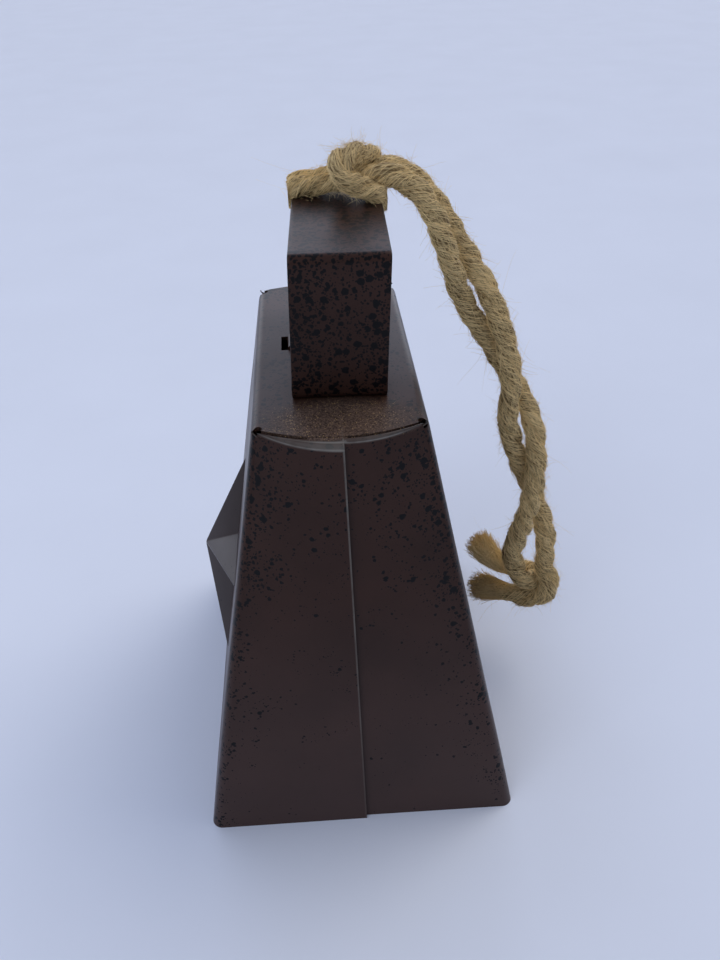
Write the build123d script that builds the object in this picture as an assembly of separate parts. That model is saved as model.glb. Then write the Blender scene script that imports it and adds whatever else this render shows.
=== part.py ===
"""Cowbell: a folded sheet-steel bell with a strap handle, a stamped barn star and a hanging clapper.

Row frame: millimetres, +Z up, origin at the centre of the mouth on the surface that it stands on.
+X runs along the wide faces, towards one lapped end; the star is on the wide face at -Y.
"""
import os
from math import atan2, cos, degrees, pi, radians, sin, sqrt, tan

from build123d import *

# ---- bell body (outside sizes) -------------------------------------------------------------
mouth_length = 112.0      # along X
mouth_width = 88.0        # along Y
top_length = 78.0
top_width = 40.0
bell_height = 124.0
top_shift = -1.6          # the top sits this far off the mouth's centre, along Y
sheet = 1.0               # steel sheet
fold_radius = 2.2         # outside of the folds between the top and the wide faces
corner_radius = 3.0       # outside of the upright corners
end_crown = 6.6           # how far the ends belly out at the top
panel_crown = 5.4         # how far the top panel's own ends belly out
lip_angle = 40.0          # slope of the turned-in lip, from upright
lip_gap = 0.5             # slit between the top panel and the lip
relief_radius = 1.1       # round relief at each end of the slit
relief_inset = 1.3        # its centre, in from the side of the top
relief_end_inset = 0.1    # its centre, in from the end of the top
lap_width = 8.0           # overlap of the two end flanges
seam_shift_mouth = 0.9    # where the outer flange stops, from the body's centre plane
seam_shift_top = 0.5
beyond = 2.0              # how far a cutting shape runs past the surface that it cuts

# ---- handle --------------------------------------------------------------------------------
handle_length = 55.0
handle_height = 35.0
handle_width = 22.5
handle_strap = 1.5
handle_bend = 2.6         # outside of its bends
foot_length = 13.0
foot_corner = 4.0
handle_shift = 1.4        # off the top's centre, along Y
handle_twist = -1.7       # degrees
handle_lean = 2.0         # degrees that its legs lean over towards +Y

# ---- star ----------------------------------------------------------------------------------
star_radius = 32.0
star_peak = 9.5
star_sheet = 0.6
star_height_up = 60.0     # its centre, above the mouth
star_notch = 0.382        # inner to outer radius of a regular five-point star

# ---- clapper hanger ------------------------------------------------------------------------
hanger_x = -3.6
hanger_width = 7.2
hanger_strap = 1.2
hanger_bend = 1.3         # outside of its bends, clinched almost sharp
hanger_drop = 12.0        # below the underside of the top
ear_length = 6.0
slot_reach = 13.4         # outer edge of each slot, from the top's centre
slot_width = 3.0
slot_end_gap = 0.4        # at each end of a slot
slot_clearance = 0.1

# ---- clapper -------------------------------------------------------------------------------
link_wire = 2.5           # wire diameter
link_inside = 8.8         # clear width
link_straight = 8.0
rod_wire = 3.2
eye_inside = 6.4
ball_diameter = 18.0
ball_centre_up = 22.0
ball_flat = 8.2           # from the ball's centre to its flats
collar_radius = 2.6
collar_height = 1.4
collar_bevel = 0.45
head_bevel = 0.7          # of the peened end
running_gap = 0.05

# ---- rope ----------------------------------------------------------------------------------
rope = 6.0
hitch_low_x = -23.0
hitch_high_x = -5.0
hitch_edge = 2.0          # the turns are pulled flat where they pass the handle's edges
hitch_hump = 13.0         # height of the crossing over the handle
hitch_hump_y = (-3.2, 12.8)
hitch_hump_inset = 1.0    # at each end of the crossing
hitch_hump_round = 4.2
knot_centre = (-3.0, 58.5, 34.8)
knot_half = (7.5, 9.5, 10.0)
knot_round = 5.6
bend_share = 0.45         # of the shorter run beside it that a bend may take
limb_front = [
    (-10.4, 13.0, 164.9), (-9.2, 18.8, 163.6), (-8.4, 24.4, 157.6), (-8.0, 27.2, 150.8),
    (-8.6, 30.4, 141.2), (-11.0, 34.6, 129.6), (-11.1, 42.8, 117.2), (-10.4, 49.0, 106.8),
    (-7.4, 55.4, 96.6), (-3.6, 57.0, 86.8), (-0.6, 56.9, 76.4), (0.2, 55.6, 65.6),
    (-0.8, 53.6, 56.4), (-2.4, 52.4, 48.6), (-2.6, 53.6, 41.8)]
limb_rear = [
    (-16.8, 13.0, 165.0), (-16.8, 19.2, 163.8), (-16.2, 25.4, 157.8), (-15.4, 30.2, 150.4),
    (-13.7, 36.2, 141.2), (-9.0, 42.4, 130.6), (-5.2, 46.2, 119.0), (-3.0, 48.1, 107.4),
    (-4.6, 47.4, 97.2), (-6.4, 50.4, 87.0), (-7.4, 54.4, 76.4), (-6.6, 59.4, 66.2),
    (-4.6, 62.6, 56.8), (-2.8, 63.8, 48.8), (-2.6, 63.0, 41.8)]
tail_upper = [(-9.0, 53.0, 36.5), (-14.0, 44.5, 42.0)]
tail_lower = [(-8.0, 52.0, 30.5), (-15.0, 43.5, 27.5)]
tail_spread = 4.2         # radius of a frayed end


# ---- places worked out from the sizes ------------------------------------------------------
plate_top = bell_height + handle_height
handle_y = top_shift + handle_shift
lean_shift = (handle_height - handle_bend) * tan(radians(handle_lean))
hanger_floor = bell_height - sheet - hanger_drop + hanger_strap
link_radius = link_inside / 2 + link_wire / 2
link_pivot = hanger_floor - sqrt((link_inside / 2 - running_gap) ** 2 - (hanger_width / 2) ** 2)
clapper_pivot = link_pivot - link_straight - link_radius
eye_radius = eye_inside / 2 + rod_wire / 2
eye_centre = clapper_pivot - (eye_inside / 2 - link_wire / 2 - running_gap)


def share(z):
    """How far up the body z lies, 0 at the mouth and 1 at the top."""
    return z / bell_height


def half_length(z):
    return mouth_length / 2 + (top_length - mouth_length) / 2 * share(z)


def centre_y(z):
    return top_shift * share(z)


def half_width(z):
    return mouth_width / 2 + (top_width - mouth_width) / 2 * share(z)


def seam_y(z):
    return centre_y(z) + seam_shift_mouth + (seam_shift_top - seam_shift_mouth) * share(z)


def end_curve(way, z, y_from, y_to, step_from, step_to, inset):
    """One flange of the +X or -X end at height z: a line at the mouth, an arc higher up."""
    def point(part):
        y = y_from + (y_to - y_from) * part
        off = (y - centre_y(z)) / half_width(z)
        belly = end_crown * share(z) * (1 - off * off)
        step = step_from + (step_to - step_from) * part
        return (way * (half_length(z) + belly + step - inset), y, z)
    if z < sheet:
        return Line(point(0), point(1))
    return ThreePointArc(point(0), point(0.5), point(1))


def body_section(z, inset, lap):
    """The body's outline at height z, moved in by inset; its lap step lies lap off the seam."""
    low, high = centre_y(z) - half_width(z) + inset, centre_y(z) + half_width(z) - inset
    step_y = seam_y(z) - lap
    ends = []
    for way in (1, -1):
        outer = end_curve(way, z, low, step_y, 0, sheet / 2, inset)
        inner = end_curve(way, z, step_y, high, -sheet / 2, 0, inset)
        ends.append((outer, Line(outer @ 1, inner @ 0), inner))
    near, far = ends
    sides = [Line(near[2] @ 1, far[2] @ 1), Line(far[0] @ 0, near[0] @ 0)]
    outline = make_face([*near, sides[0], *reversed(far), sides[1]])
    corners = outline.vertices().sort_by(lambda v: abs(v.Y - centre_y(z)))[-4:]
    return fillet(corners, corner_radius - inset)


def roof(inset, radius):
    """A long bar with the body's front outline: sloping wide faces and rounded folds."""
    low = 0 if inset == 0 else -beyond
    top = bell_height - inset
    outline = make_face(Polyline([
        (centre_y(low) - half_width(low) + inset, low), (centre_y(low) + half_width(low) - inset, low),
        (centre_y(top) + half_width(top) - inset, top), (centre_y(top) - half_width(top) + inset, top)],
        close=True))
    outline = fillet(outline.vertices().sort_by(Axis.Y)[-2:], radius)
    return extrude(Plane.YZ * outline, amount=mouth_length, both=True)


def lip_cone(inset):
    """The cone that slopes each end's lip in to meet the top panel."""
    half = top_width / 2
    radius = (half ** 2 + panel_crown ** 2) / (2 * panel_crown)
    centre = top_length / 2 + panel_crown - radius
    low = -beyond
    depth = bell_height - low
    side = inset / cos(radians(lip_angle))
    cone = Cone(radius + depth * tan(radians(lip_angle)) - side, radius - side, depth)
    rest = Box(2 * mouth_length, 2 * mouth_width, depth).translate((-mouth_length, 0, 0))
    return (cone + rest).translate((centre, top_shift, low + depth / 2)), radius, centre


def body_solid(inset, lap, radius):
    low = 0 if inset == 0 else -beyond
    solid = loft([body_section(low, inset, lap), body_section(bell_height - inset, inset, lap)],
                 ruled=True)
    cone = lip_cone(inset)[0]
    return solid & roof(inset, radius) & cone & mirror(cone, Plane.YZ)


def bell_shell():
    shell = body_solid(0, 0, fold_radius) - body_solid(sheet, lap_width, fold_radius - sheet)
    radius, centre = lip_cone(0)[1:]
    reach = top_width / 2 - relief_inset
    depth = 2 * beyond
    slit = Cylinder(radius, depth) - Cylinder(radius - lip_gap, depth)
    slit &= Box(radius, 2 * reach, depth).translate((radius, 0, 0))
    slit = slit.translate((centre, top_shift, bell_height))
    for x_way in (1, -1):
        shell -= slit if x_way > 0 else mirror(slit, Plane.YZ)
        for y_way in (1, -1):
            hole = Cylinder(relief_radius, depth)
            end = x_way * (top_length / 2 - relief_end_inset)
            shell -= hole.translate((end, top_shift + y_way * reach, bell_height))
    slot_mid = slot_reach - slot_width / 2
    for y_way in (1, -1):
        slot = Box(hanger_width + 2 * slot_end_gap, slot_width, depth)
        shell -= slot.translate((hanger_x, top_shift + y_way * slot_mid, bell_height))
    return shell


def bent_strap(length, height, strap, bend, width, opening, open_top):
    """A flat strap bent into a squared loop in XZ and left open for part of one side.

    Its outside spans length by height from z = 0, and its width lies along Y.
    """
    loop = Rectangle(length, height)
    loop = fillet(loop.vertices(), bend)
    hollow = Rectangle(length - 2 * strap, height - 2 * strap)
    loop -= fillet(hollow.vertices(), bend - strap)
    side = height / 2 if open_top else -height / 2
    loop -= Pos(0, side) * Rectangle(opening, 3 * strap)
    strip = extrude(Plane.XZ * Pos(0, height / 2) * loop, amount=width / 2, both=True)
    return strip


def strap_handle():
    opening = handle_length - 2 * foot_length
    strap = bent_strap(handle_length, handle_height, handle_strap, handle_bend,
                       handle_width + 2 * lean_shift, opening, open_top=False)
    half = handle_width / 2
    sides = make_face(Polyline([
        (-half, 0), (half, 0), (half, handle_bend), (half + lean_shift, handle_height),
        (-half + lean_shift, handle_height), (-half, handle_bend)], close=True))
    strap &= extrude(Plane.YZ * sides, amount=handle_length, both=True)
    foot_ends = [edge for edge in strap.edges().filter_by(Axis.Z)
                 if edge.center().Z < handle_strap and abs(edge.center().X) < opening / 2 + handle_strap]
    strap = fillet(foot_ends, foot_corner)
    strap = strap.rotate(Axis.Z, handle_twist)
    return strap.translate((0, handle_y, bell_height))


def barn_star():
    """A hollow five-point star of thin sheet, its rim flat against the front face."""
    slope = degrees(atan2(half_width(0) - half_width(bell_height) + top_shift, bell_height))
    # every facet lies this far from the middle of the star's base, so the inner faces run parallel
    rim_line = star_radius * cos(2 * pi / 5)
    facet = star_peak * rim_line / sqrt(star_peak ** 2 + rim_line ** 2)
    shrink = 1 - star_sheet / facet

    def pyramid(scale, rise):
        points = []
        for tip in range(10):
            reach = star_radius * (1 if tip % 2 == 0 else star_notch) * scale
            points.append((reach * sin(pi * tip / 5), reach * cos(pi * tip / 5)))
        base = make_face(Polyline(points, close=True))
        return loft([base, Vertex(0, 0, rise)], ruled=True)

    star = pyramid(1, star_peak) - pyramid(shrink, star_peak * shrink)
    face_y = centre_y(star_height_up) - half_width(star_height_up)
    face = Plane(origin=(0, face_y, star_height_up), x_dir=(1, 0, 0),
                 z_dir=(0, -cos(radians(slope)), sin(radians(slope))))
    return face * star


def clapper_hanger():
    """A strap bent into a U through the two slots, its ears clinched inwards on the top."""
    reach = slot_reach - slot_width + slot_clearance + hanger_strap
    low = hanger_floor - hanger_strap
    high = bell_height + hanger_strap
    opening = 2 * (reach - hanger_strap - ear_length)
    strap = bent_strap(2 * reach, high - low, hanger_strap, hanger_bend, hanger_width, opening,
                       open_top=True)
    return strap.rotate(Axis.Z, 90).translate((hanger_x, top_shift, low))


def clapper_link():
    """A closed oval ring of wire round the bottom of the hanger."""
    path = SlotCenterToCenter(link_straight, 2 * link_radius)
    path = Plane.XZ * Rot(0, 0, 90) * path
    rim = path.faces()[0].outer_wire()
    start = rim.position_at(0)
    section = Plane(origin=start, z_dir=rim.tangent_at(0)) * Circle(link_wire / 2)
    ring = sweep(section, path=rim)
    return ring.translate((hanger_x, top_shift, link_pivot - link_straight / 2))


def ball_top(z_way):
    return ball_centre_up + z_way * ball_flat


def clapper_rod():
    """A rod with a round eye at its top, a collar above the ball and a peened end below it."""
    eye = Rot(0, 90, 0) * Torus(eye_radius, rod_wire / 2)
    eye = eye.translate((0, 0, eye_centre))
    eye_low = eye_centre - eye_radius
    rod = Cylinder(rod_wire / 2, eye_low - ball_top(-1))
    rod = rod.translate((0, 0, (eye_low + ball_top(-1)) / 2))
    collar = Cylinder(collar_radius, collar_height)
    collar = chamfer(collar.edges().group_by(Axis.Z)[-1], collar_bevel)
    collar = collar.translate((0, 0, ball_top(1) + collar_height / 2))
    head = Cylinder(collar_radius, collar_height)
    head = chamfer(head.edges().group_by(Axis.Z)[0], head_bevel)
    head = head.translate((0, 0, ball_top(-1) - collar_height / 2))
    return (eye + rod + collar + head).translate((hanger_x, top_shift, 0))


def clapper_ball():
    ball = Sphere(ball_diameter / 2) & Box(ball_diameter, ball_diameter, 2 * ball_flat)
    ball -= Cylinder(rod_wire / 2 + running_gap, ball_diameter)
    return ball.translate((hanger_x, top_shift, ball_centre_up))


def rope_hitch():
    """The rope's turns round the handle and the crossing on top of them, as one closed shape."""
    long_x = hitch_high_x - hitch_low_x
    mid_x = (hitch_high_x + hitch_low_x) / 2
    plate_low = plate_top - handle_strap
    wide = handle_width + 2 * hitch_edge
    turns = Box(long_x, wide, handle_strap + 2 * rope)
    turns = fillet(turns.edges().filter_by(Axis.X), rope / 2)
    turns = turns.translate((mid_x, 0, (plate_top + plate_low) / 2))
    y_low, y_high = hitch_hump_y
    hump = Box(long_x - 2 * hitch_hump_inset, y_high - y_low, hitch_hump)
    hump = fillet(hump.edges().filter_by(Axis.X).group_by(Axis.Z)[-1], hitch_hump_round)
    hump = hump.translate((mid_x, (y_low + y_high) / 2, plate_top + hitch_hump / 2))
    wrap = (turns + hump).translate((0, handle_y + lean_shift, 0))
    return wrap - strap_handle()


def corner_radii(points):
    """For each corner, the largest arc that its two runs allow."""
    radii = []
    for before, corner, after in zip(points, points[1:], points[2:]):
        run_in, run_out = Vector(corner) - Vector(before), Vector(after) - Vector(corner)
        half_turn = radians(run_in.get_angle(run_out)) / 2
        radii.append(bend_share * min(run_in.length, run_out.length) / tan(half_turn))
    return radii


def rope_tube(points):
    radii = corner_radii(points)
    path = FilletPolyline(*points, radius=radii)
    section = Plane(origin=path @ 0, z_dir=path % 0) * Circle(rope / 2)
    tube = sweep(section, path=path)
    print("radii", [round(r, 1) for r in radii], "length", round(path.length, 1),
          "volume ratio", round(tube.volume / (path.length * pi * rope ** 2 / 4), 4))
    return tube


def rope_knot():
    x, y, z = knot_half
    knot = Box(2 * x, 2 * y, 2 * z)
    return fillet(knot.edges(), knot_round).translate(knot_centre)


def frayed_tail(points):
    """A cone from the rope's size at the knot to the spread of its frayed end."""
    start, end = Vector(points[0]), Vector(points[1])
    way = end - start
    cone = loft([Plane(origin=start, z_dir=way) * Circle(rope / 2),
                 Plane(origin=end, z_dir=way) * Circle(tail_spread)])
    return cone - rope_knot()


parts = {
    "bell_shell": bell_shell(),
    "strap_handle": strap_handle(),
    "barn_star": barn_star(),
    "clapper_hanger": clapper_hanger(),
    "clapper_link": clapper_link(),
    "clapper_rod": clapper_rod(),
    "clapper_ball": clapper_ball(),
    "rope_hitch": rope_hitch(),
    "rope_limb_front": rope_tube(limb_front),
    "rope_limb_rear": rope_tube(limb_rear),
    "rope_knot": rope_knot(),
    "rope_tail_upper": frayed_tail(tail_upper),
    "rope_tail_lower": frayed_tail(tail_lower),
}

if __name__ == "__main__":
    os.makedirs("parts", exist_ok=True)
    for name, shape in parts.items():
        export_step(shape, f"parts/{name}.step")
        print(name, len(shape.solids()), round(shape.volume, 1))
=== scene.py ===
"""Cowbell: a speckled sheet-steel bell with a barn star, a strap handle, a clapper and a jute rope.

Everything is in metres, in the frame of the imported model: +Z up, the mouth's centre at the origin,
+X towards the lapped end that faces the camera, the star on the wide face at -Y.
"""

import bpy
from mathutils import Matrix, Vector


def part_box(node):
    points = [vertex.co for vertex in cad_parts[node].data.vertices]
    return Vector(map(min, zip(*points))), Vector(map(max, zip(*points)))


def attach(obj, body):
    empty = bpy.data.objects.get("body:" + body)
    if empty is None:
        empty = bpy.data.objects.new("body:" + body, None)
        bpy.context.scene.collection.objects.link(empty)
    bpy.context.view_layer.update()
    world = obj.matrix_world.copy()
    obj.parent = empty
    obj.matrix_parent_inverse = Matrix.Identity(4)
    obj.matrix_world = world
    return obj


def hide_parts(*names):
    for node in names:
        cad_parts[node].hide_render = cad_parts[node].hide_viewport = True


bl_info = {
    "name": "Cowbell maker",
    "version": (1, 0, 0),
    "blender": (4, 5, 0),
    "location": "3D View > Sidebar > Cowbell",
    "description": "Makes the folded bell, its star, handle and clapper, and the jute rope hitched to it",
    "category": "Object",
}

from functools import partial
from math import atan2, cos, pi, radians, sin, sqrt, tan

import bpy
import numpy as np
from bpy.props import FloatProperty, IntProperty, PointerProperty, StringProperty
from bpy.types import Operator, Panel, PropertyGroup
from mathutils import Matrix, Vector, noise

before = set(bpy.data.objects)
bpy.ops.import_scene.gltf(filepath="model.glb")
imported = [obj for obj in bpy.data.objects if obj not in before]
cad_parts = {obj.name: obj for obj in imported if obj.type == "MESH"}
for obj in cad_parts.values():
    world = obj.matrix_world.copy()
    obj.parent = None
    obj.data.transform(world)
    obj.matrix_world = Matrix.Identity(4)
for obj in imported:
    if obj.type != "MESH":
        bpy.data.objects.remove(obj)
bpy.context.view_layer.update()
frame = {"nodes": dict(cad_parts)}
MM = 0.001
BELL_BODY = "bell"
CORNER_BAND = 12 * MM   # width of the denser spatter beside the upright corners
DROP_WOBBLE = 0.9 * MM  # how far the drops' outlines are pushed about
BEND_STEPS = 6          # steps round a bend of the handle
FRAY = 17 * MM          # length of the rope's open ends
CAMERA_PLACE = (0.20263, -0.00641, 0.22476)
CAMERA_TURN = (-3.12, 35.34, -1.58)  # yaw, pitch down and roll, in degrees
CAMERA_LENS = 32.04


# ---- sizes and colours that a user would change --------------------------------------------
def length(name, description, millimetres):
    return FloatProperty(name=name, description=description, default=millimetres * MM,
                         unit="LENGTH", subtype="DISTANCE", precision=4)


def colour(name, description, value):
    return StringProperty(name=name, description=description, default=value)


class BellSizes(PropertyGroup):
    mouth_length: length("Mouth length", "Outside of the mouth along X", 112)
    mouth_width: length("Mouth width", "Outside of the mouth along Y", 88)
    top_length: length("Top length", "Outside of the top along X, at its corners", 78)
    top_width: length("Top width", "Outside of the top along Y", 40)
    height: length("Height", "From the mouth to the top panel", 124)
    top_shift: length("Top shift", "How far the top sits off centre along Y", -1.6)
    sheet: length("Sheet", "Thickness of the steel sheet", 1.0)
    fold: length("Fold radius", "Outside radius of the long folds", 2.2)
    corner: length("Corner radius", "Outside radius of the upright corners", 3.0)
    end_crown: length("End crown", "How far the ends belly out at the top", 6.6)
    panel_crown: length("Panel crown", "How far the top panel's ends belly out", 5.4)
    lip_gap: length("Lip gap", "Slit between the top panel and the lip", 0.65)
    relief: length("Relief radius", "Round relief at each end of the slit", 1.15)
    relief_inset: length("Relief inset", "Relief holes in from the sides of the top", 1.3)
    lap: length("Lap", "Overlap of the end flanges", 8.0)
    unevenness: length("Unevenness", "How far the hand-bent faces wander", 0.16)
    lip_angle: FloatProperty(name="Lip angle", description="Slope of the lip from upright",
                             default=radians(40), subtype="ANGLE")


class HandleSizes(PropertyGroup):
    span: length("Span", "Outside of the legs along X", 55)
    height: length("Height", "From the top panel to the top of the strap", 35)
    width: length("Width", "Width of the strap", 22.5)
    strap: length("Strap", "Thickness of the strap", 1.5)
    bend: length("Bend", "Outside radius of the bends", 2.0)
    foot: length("Foot", "Length of each turned-in foot", 13)
    foot_corner: length("Foot corner", "Rounding of the feet's corners", 4)
    shift: length("Shift", "Off the top's centre along Y", 1.4)
    twist: FloatProperty(name="Twist", description="Turn about the upright axis",
                         default=radians(-1.7), subtype="ANGLE")
    lean: FloatProperty(name="Lean", description="How far the legs lean over towards +Y",
                        default=radians(2.0), subtype="ANGLE")


class StarSizes(PropertyGroup):
    radius: length("Radius", "From the centre to a tip", 32)
    peak: length("Peak", "Height of the middle above the rim", 9.5)
    sheet: length("Sheet", "Thickness of the stamping", 0.6)
    up: length("Height of centre", "Centre of the star above the mouth", 60)
    notch: FloatProperty(name="Notch", description="Inner to outer radius", default=0.382, min=0.1, max=0.9)


class RopeSizes(PropertyGroup):
    diameter: length("Diameter", "Outside of the laid rope", 6.0)
    lay: length("Lay", "Length of one full turn of the strands", 24)
    yarn_lay: length("Yarn lay", "Length of one turn of the fibres in a strand", 13)
    step: length("Step", "Spacing of the rings along a strand", 0.7)
    pressed: length("Pressed", "Thickness of the rope pulled round the handle's edges", 0.8)
    under: length("Under", "Thickness of the rope pulled up under the handle", 1.3)
    ring: IntProperty(name="Ring", description="Points round a strand", default=20, min=8, max=40)
    fibres: IntProperty(name="Fibres", description="Fibre bundles lying on each half", default=3400)
    hairs: IntProperty(name="Hairs", description="Loose hairs on each half of the rope", default=2600)
    tuft: IntProperty(name="Tuft", description="Fibres in each frayed end", default=1700)


class Finishes(PropertyGroup):
    enamel: colour("Enamel", "Brown baked enamel of the bell", "#38241d")
    speckle: colour("Speckle", "Blue-black specks in the enamel", "#060507")
    grit: colour("Grit", "Bright grains by the handle's foot", "#a88b60")
    # painted highlight: the pale grey laid on the lips, their creases and the lap's edge, where they catch the
    # light
    worn: colour("Worn enamel", "Rubbed enamel on the lips and the seam", "#7a766f")
    star: colour("Star enamel", "Enamel of the star", "#3c3230")
    steel: colour("Steel", "Bare drawn wire and rod", "#8c8881")
    iron: colour("Iron", "Oiled iron ball", "#3b3734")
    jute: colour("Jute", "Clean jute fibre", "#efd59c")
    jute_dark: colour("Dark jute", "Shaded and dirty fibre", "#5e461f")
    floor: colour("Floor", "Pale floor", "#dce3ef")


# ---- helpers -------------------------------------------------------------------------------
def linear(text):
    """An sRGB hex colour as linear RGBA."""
    parts = [int(text[i:i + 2], 16) / 255 for i in (1, 3, 5)]
    return [p / 12.92 if p <= 0.04045 else ((p + 0.055) / 1.055) ** 2.4 for p in parts] + [1.0]


def darker(text, share):
    """An sRGB hex colour as linear RGBA, at a share of its brightness."""
    return [share * part for part in linear(text)[:3]] + [1.0]


def add_node(tree, kind, inputs=None, **settings):
    """Adds a node with its settings and gives its outputs.

    inputs gives each socket a value or another node's output.
    """
    node = tree.nodes.new("ShaderNode" + kind)
    for name, value in settings.items():
        setattr(node, name, value)
    for socket, value in (inputs or {}).items():
        if isinstance(value, bpy.types.NodeSocket):
            tree.links.new(value, node.inputs[socket])
        else:
            node.inputs[socket].default_value = value
    return node.outputs


def new_material(name):
    """An empty node material, add_node for its tree, and the object coordinates."""
    material = bpy.data.materials.new(name)
    material.use_nodes = True
    material.node_tree.nodes.clear()
    node = partial(add_node, material.node_tree)
    return material, node, node("TexCoord")["Object"]


def close_material(node, inputs):
    """Adds the shader with its inputs and the material's output."""
    shader = node("BsdfPrincipled", inputs)[0]
    node("OutputMaterial", {"Surface": shader}, is_active_output=True)


def deselect():
    if bpy.context.object and bpy.context.object.mode != "OBJECT":
        bpy.ops.object.mode_set(mode="OBJECT")
    bpy.ops.object.select_all(action="DESELECT")


def use(piece):
    deselect()
    bpy.context.view_layer.objects.active = piece
    piece.select_set(True)


def apply_modifiers(piece):
    use(piece)
    for modifier in list(piece.modifiers):
        bpy.ops.object.modifier_apply(modifier=modifier.name)


def paint(piece, material):
    piece.data.materials.clear()
    piece.data.materials.append(material)


def finish_piece(piece, name, material, body, replaced=(), angle=35):
    """Names a piece, shades it, gives it its finish and hangs it on its body."""
    use(piece)
    bpy.ops.object.transform_apply(location=True, rotation=True, scale=True)
    bpy.ops.object.shade_smooth_by_angle(angle=radians(angle))
    piece.name = piece.data.name = name
    paint(piece, material)
    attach(piece, body)
    if replaced:
        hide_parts(*replaced)
    return piece


def shaped_grid(columns, rows, place):
    """A grid primitive whose points are moved to place(column, row)."""
    deselect()
    bpy.ops.mesh.primitive_grid_add(x_subdivisions=columns, y_subdivisions=rows, size=2)
    piece = bpy.context.object
    for vertex in piece.data.vertices:
        column = round((vertex.co.x + 1) / 2 * columns)
        row = round((vertex.co.y + 1) / 2 * rows)
        vertex.co = place(column, row)
    return piece


def join(pieces):
    use(pieces[0])
    for piece in pieces[1:]:
        piece.select_set(True)
    bpy.ops.object.join()
    return bpy.context.object


def merge_points(piece, distance):
    use(piece)
    bpy.ops.object.mode_set(mode="EDIT")
    bpy.ops.mesh.select_all(action="SELECT")
    bpy.ops.mesh.remove_doubles(threshold=distance)
    bpy.ops.mesh.normals_make_consistent(inside=False)
    bpy.ops.object.mode_set(mode="OBJECT")


def wander(point, size, amount):
    """A smooth random push, the same each run: amount is its largest value."""
    return amount * noise.noise(Vector(point) / size)


# ---- bell ----------------------------------------------------------------------------------
class BellShape:
    """The bell's outside surface, as functions of height and of place along each flange."""

    def __init__(self, sizes):
        self.s = sizes
        half = sizes.top_width / 2
        self.lip_radius = (half ** 2 + sizes.panel_crown ** 2) / (2 * sizes.panel_crown)
        self.lip_centre = sizes.top_length / 2 + sizes.panel_crown - self.lip_radius

    def share(self, z):
        return z / self.s.height

    def half_length(self, z):
        s = self.s
        return s.mouth_length / 2 + (s.top_length - s.mouth_length) / 2 * self.share(z)

    def half_width(self, z):
        s = self.s
        return s.mouth_width / 2 + (s.top_width - s.mouth_width) / 2 * self.share(z)

    def centre_y(self, z):
        return self.s.top_shift * self.share(z)

    def seam_y(self, z):
        return self.centre_y(z) + (0.9 - 0.4 * self.share(z)) * MM

    def end_x(self, y, z, step):
        """Outside of an end at (y, z); step is how far the flange stands out at the seam."""
        off = (y - self.centre_y(z)) / self.half_width(z)
        to_seam = 1 - min(1, abs(y - self.seam_y(z)) / self.half_width(z))
        return self.half_length(z) + self.s.end_crown * self.share(z) * (1 - off * off) + step * to_seam

    def slit_x(self, y):
        """Where the lip ends, beside the top panel."""
        return self.lip_centre + sqrt(self.lip_radius ** 2 - (y - self.s.top_shift) ** 2)

    def crease_z(self, y, step):
        """Height at which the lip leaves the end at y."""
        low, high = self.s.height - 8 * MM, self.s.height
        for _ in range(24):
            z = (low + high) / 2
            cone = self.slit_x(y) + (self.s.height - z) * tan(self.s.lip_angle)
            if self.end_x(y, z, step) < cone:
                low = z
            else:
                high = z
        return low


LOW_ROWS, RIM_ROWS, FOLD_ROWS, LIP_ROWS = 34, 4, 9, 5


def corner_ends(shape, z):
    """Where the corner bend meets the wide face and the end, as (x, y off the centre) pairs."""
    s = shape.s
    edge = shape.half_width(z)
    lean = atan2(2 * s.end_crown * shape.share(z), edge)
    reach = s.corner * tan((pi / 2 - lean) / 2)
    turn = pi / 2 - lean
    return ((shape.half_length(z) - reach, edge),
            (shape.half_length(z) - reach + s.corner * sin(turn), edge - s.corner * (1 - cos(turn))))


def side_path(shape, way):
    """(x, y, z) where a wide face meets the corner bend, from the mouth up over the fold."""
    s = shape.s
    z_mid, z_fold = s.height - 6 * MM, s.height - s.fold
    levels = [z_mid * i / LOW_ROWS for i in range(LOW_ROWS + 1)]
    levels += [z_mid + (z_fold - z_mid) * i / RIM_ROWS for i in range(1, RIM_ROWS + 1)]
    points = []
    for z in levels:
        x, y = corner_ends(shape, z)[0]
        points.append(Vector((x, shape.centre_y(z) + way * y, z)))
    slope = atan2(shape.half_width(0) - shape.half_width(s.height) - way * s.top_shift, s.height)
    start = points[-1].copy()
    edge_y = s.top_shift + way * (shape.half_width(s.height) - s.fold * 0.86)
    x_end = shape.slit_x(edge_y) - s.lip_gap
    for i in range(1, FOLD_ROWS + 1):
        part = i / FOLD_ROWS
        turn = slope + (pi / 2 - slope) * part
        over = (cos(slope) - cos(turn)) / cos(slope)
        rise = (sin(turn) - sin(slope)) / (1 - sin(slope))
        points.append(Vector((start.x + (x_end - start.x) * part, start.y + (edge_y - start.y) * over,
                              start.z + (s.height - start.z) * rise)))
    return points


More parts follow.
